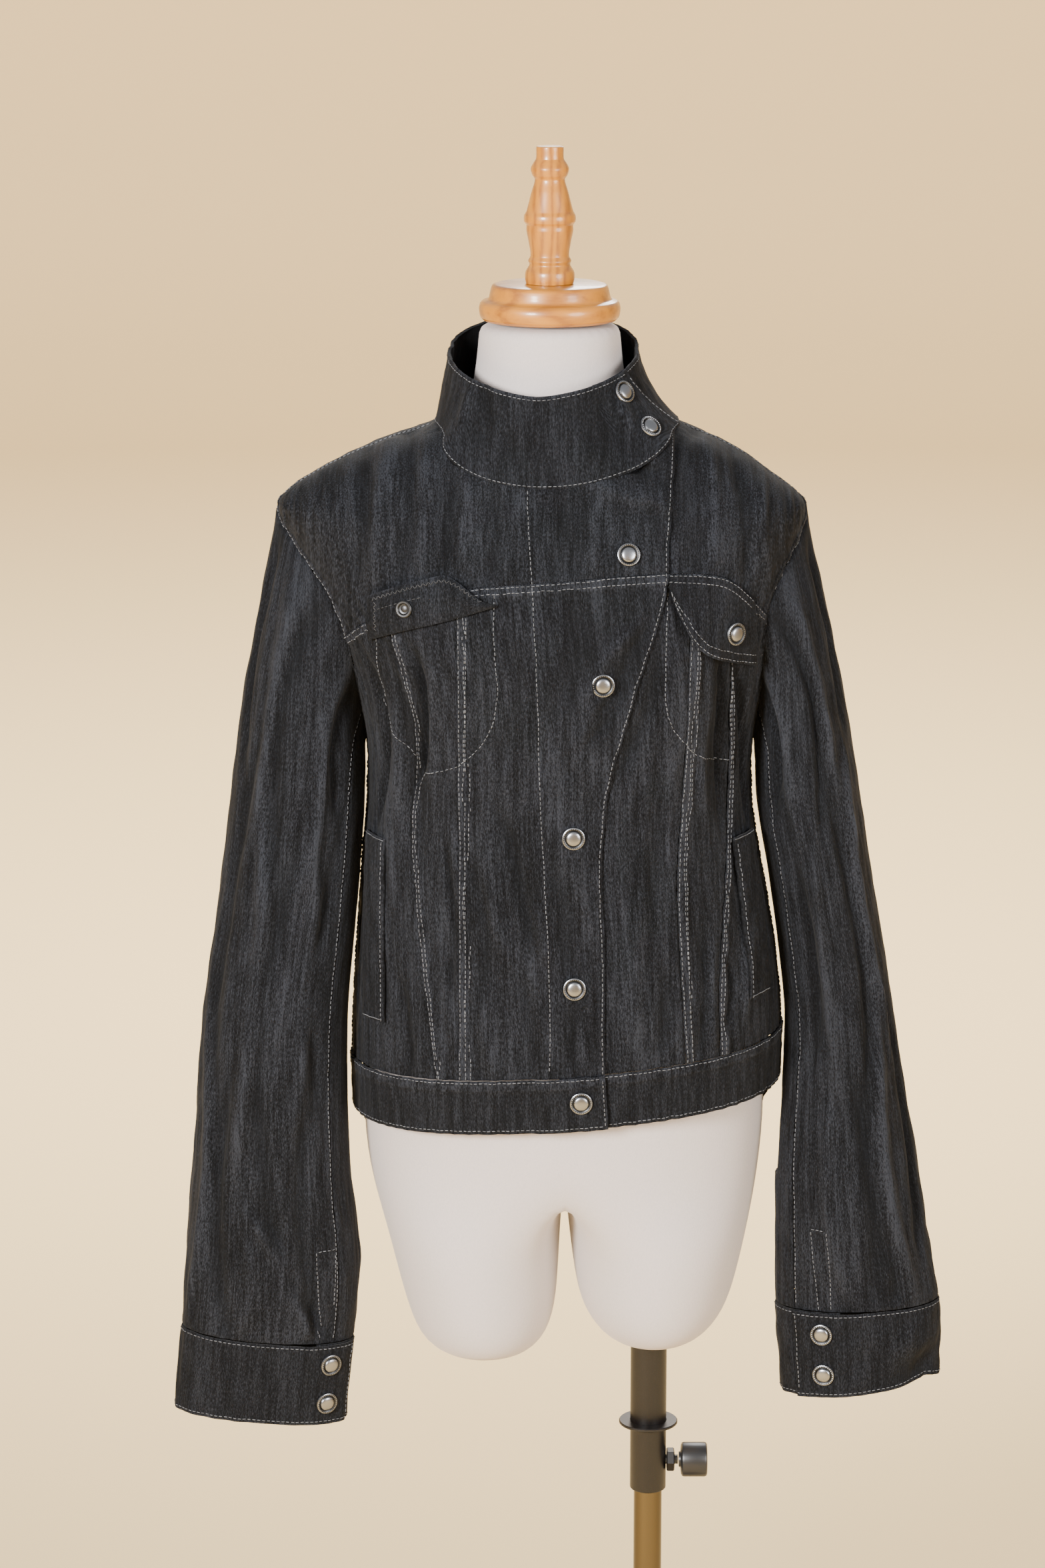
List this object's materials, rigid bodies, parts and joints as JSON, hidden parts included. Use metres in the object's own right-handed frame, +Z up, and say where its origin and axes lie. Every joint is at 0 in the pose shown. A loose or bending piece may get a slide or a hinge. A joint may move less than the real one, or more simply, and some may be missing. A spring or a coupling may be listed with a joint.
{
  "type": "denim jacket on a dress form",
  "caption": "Cropped dark denim jacket with stand collar, slanted snap front, chest flaps and waistband, worn by a limbless dress form on a pole stand with round base.",
  "frame": {"origin": "middle of the round base's underside, on the pole's axis, on the floor", "axes": "+Z up along the pole; -Y is the jacket's front; +X is the wearer's left"},
  "size_m": [0.5867, 0.36, 1.601],
  "materials": {
    "denim": "black-grey slubby denim twill, matt",
    "snap_metal": "antique pewter snap caps, worn satin",
    "jersey": "off-white jersey over a foam form",
    "wood": "varnished pale hardwood with visible grain",
    "brown_steel": "speckled dark brown powder coat",
    "brass": "polished brass plating",
    "zinc": "zinc plated screw",
    "black_plastic": "black moulded plastic"
  },
  "bodies": {
    "stand": {"base": "brown_steel", "pole": "brass"},
    "form": {"right_front_yoke": "denim", "left_front_yoke": "denim", "right_front_side": "denim", "right_front_middle": "denim", "right_front_centre": "denim", "left_front_centre": "denim", "left_front_middle": "denim", "left_front_side": "denim", "back_yoke": "denim", "back_panel": "denim", "waistband_right": "denim", "waistband_left": "denim", "waistband_back": "denim", "collar": "denim", "right_sleeve_top": "denim", "right_sleeve_under": "denim", "left_sleeve_top": "denim", "left_sleeve_under": "denim", "right_cuff": "denim", "left_cuff": "denim", "left_chest_flap": "denim", "right_chest_flap": "denim", "right_welt": "denim", "left_welt": "denim", "snap_collar_top": "snap_metal", "snap_collar_tip": "snap_metal", "snap_front_1": "snap_metal", "snap_front_2": "snap_metal", "snap_front_3": "snap_metal", "snap_front_4": "snap_metal", "snap_waistband": "snap_metal", "snap_left_flap": "snap_metal", "snap_right_flap_socket": "snap_metal", "right_cuff_snap_1": "snap_metal", "right_cuff_snap_2": "snap_metal", "left_cuff_snap_1": "snap_metal", "left_cuff_snap_2": "snap_metal", "dress_form": "jersey", "neck_cap": "wood", "finial": "wood", "stand_tube": "brown_steel", "tube_ring": "brown_steel", "clamp_nut": "brown_steel"},
    "knob": {"clamp_screw": "zinc", "clamp_knob": "black_plastic"}
  },
  "joints": [
    {"name": "height_slide", "type": "slide", "parent": "stand", "child": "form", "axis": [0, 0, 1], "range_m": [-0.1, 0.12]},
    {"name": "knob_turn", "type": "hinge", "parent": "form", "child": "knob", "pos_m": [0.035, 0, 0.583], "axis": [1, 0, 0], "range_deg": [0, 360]}
  ]
}
